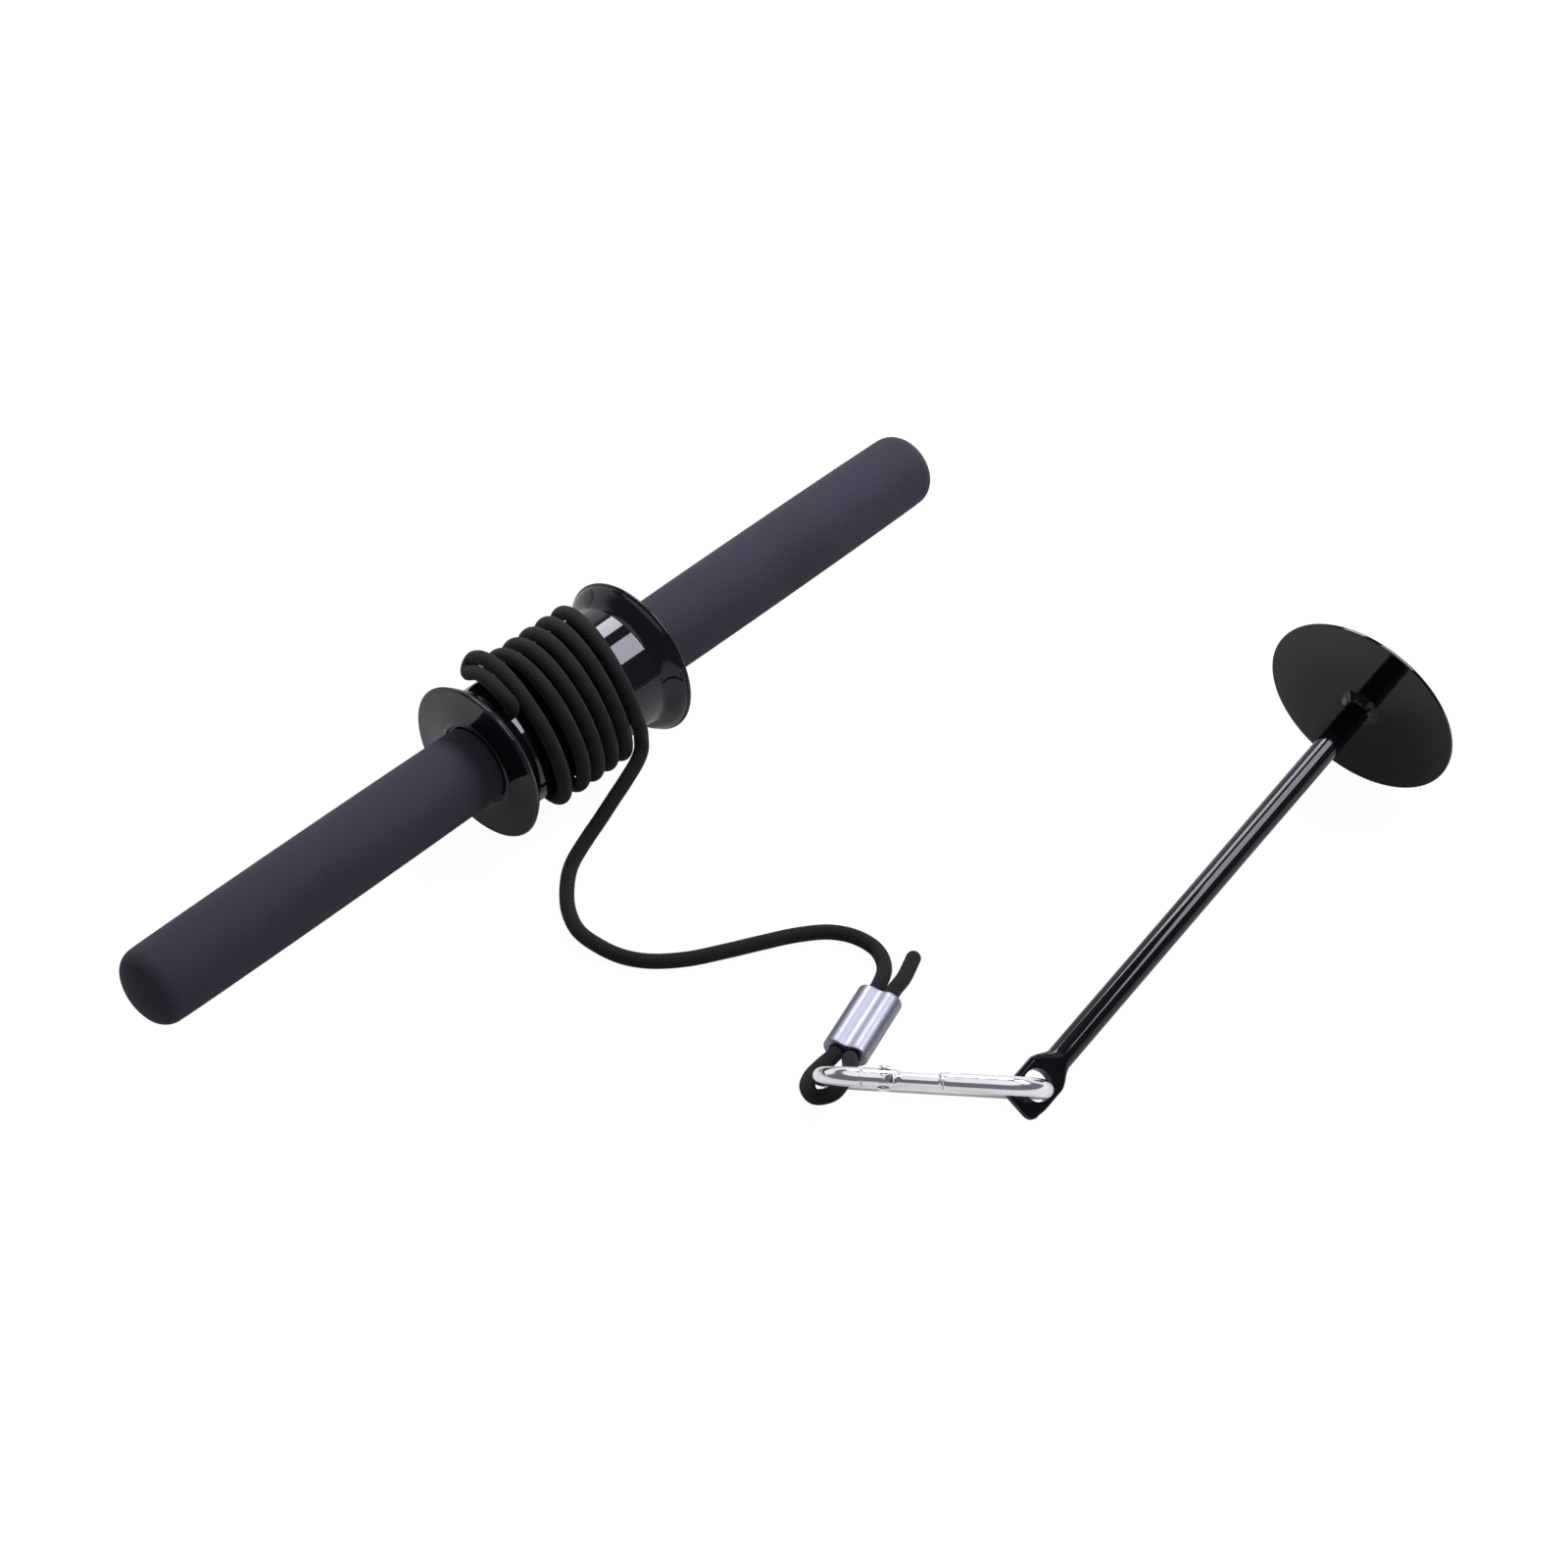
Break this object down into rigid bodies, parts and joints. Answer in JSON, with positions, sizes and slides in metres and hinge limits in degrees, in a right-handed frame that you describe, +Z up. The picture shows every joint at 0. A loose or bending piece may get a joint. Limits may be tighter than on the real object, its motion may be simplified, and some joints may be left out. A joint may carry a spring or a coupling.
{
  "type": "wrist roller",
  "caption": "Bar with foam grips and a flanged spool; a wound cord ends in a crimped eye, a snap hook and a rod with a round plate for weights.",
  "frame": {"origin": "on the floor, under the middle of the box round the bar, the hook and the loading pin", "axes": "+X along the bar towards its far end, +Z up, +Y from the loading pin towards the bar"},
  "size_m": [0.4346, 0.313, 0.0816],
  "materials": {
    "foam": "matte closed-cell foam",
    "spool": "gloss",
    "cord": "matte braid",
    "ferrule": "satin, pressed",
    "hook": "bright plated",
    "fastener": "plain",
    "tube": "drawn",
    "plug": "moulded",
    "pin": "gloss black coat"
  },
  "bodies": {
    "line": {"cord_winding": "cord", "cord_lead": "cord", "cord_loop": "cord", "cord_tail": "cord", "ferrule": "ferrule"},
    "roller": {"bar_tube": "tube", "tube_plug_near": "plug", "tube_plug_far": "plug", "grip_near": "foam", "grip_far": "foam", "spool_half_near": "spool", "spool_half_far": "spool", "spool_screw_1": "fastener", "spool_screw_2": "fastener", "spool_screw_3": "fastener", "drive_pin": "fastener", "cord_knot": "cord"},
    "hook": {"hook_body": "hook", "gate_rivet": "hook"},
    "gate": {"hook_gate": "hook", "latch_pin": "hook", "gate_plunger": "fastener", "gate_spring": "fastener"},
    "pin": {"loading_pin": "pin", "weight_plate": "pin", "weld_bead": "pin"}
  },
  "joints": [
    {"name": "roller_spin", "type": "hinge", "parent": "line", "child": "roller", "pos_m": [-0.00206, 0.12289, 0.03363], "axis": [1, 0, 0], "continuous": true},
    {"name": "hook_swing", "type": "hinge", "parent": "line", "child": "hook", "pos_m": [-0.05635, -0.07391, 0.00853], "axis": [-0.7476, 0.0825, 0.6591], "range_deg": [-10, 15]},
    {"name": "gate_swing", "type": "hinge", "parent": "hook", "child": "gate", "pos_m": [-0.05355, -0.09831, 0.02458], "axis": [0.6082, 0.4838, 0.6293], "range_deg": [0, 30], "stiffness_Nm_per_rad": 0.1, "springref_deg": -34.38},
    {"name": "pin_swing", "type": "hinge", "parent": "hook", "child": "pin", "pos_m": [-0.00856, -0.13461, 0.00901], "axis": [-0.129, -0.7221, 0.6797], "range_deg": [-110, 110]}
  ]
}
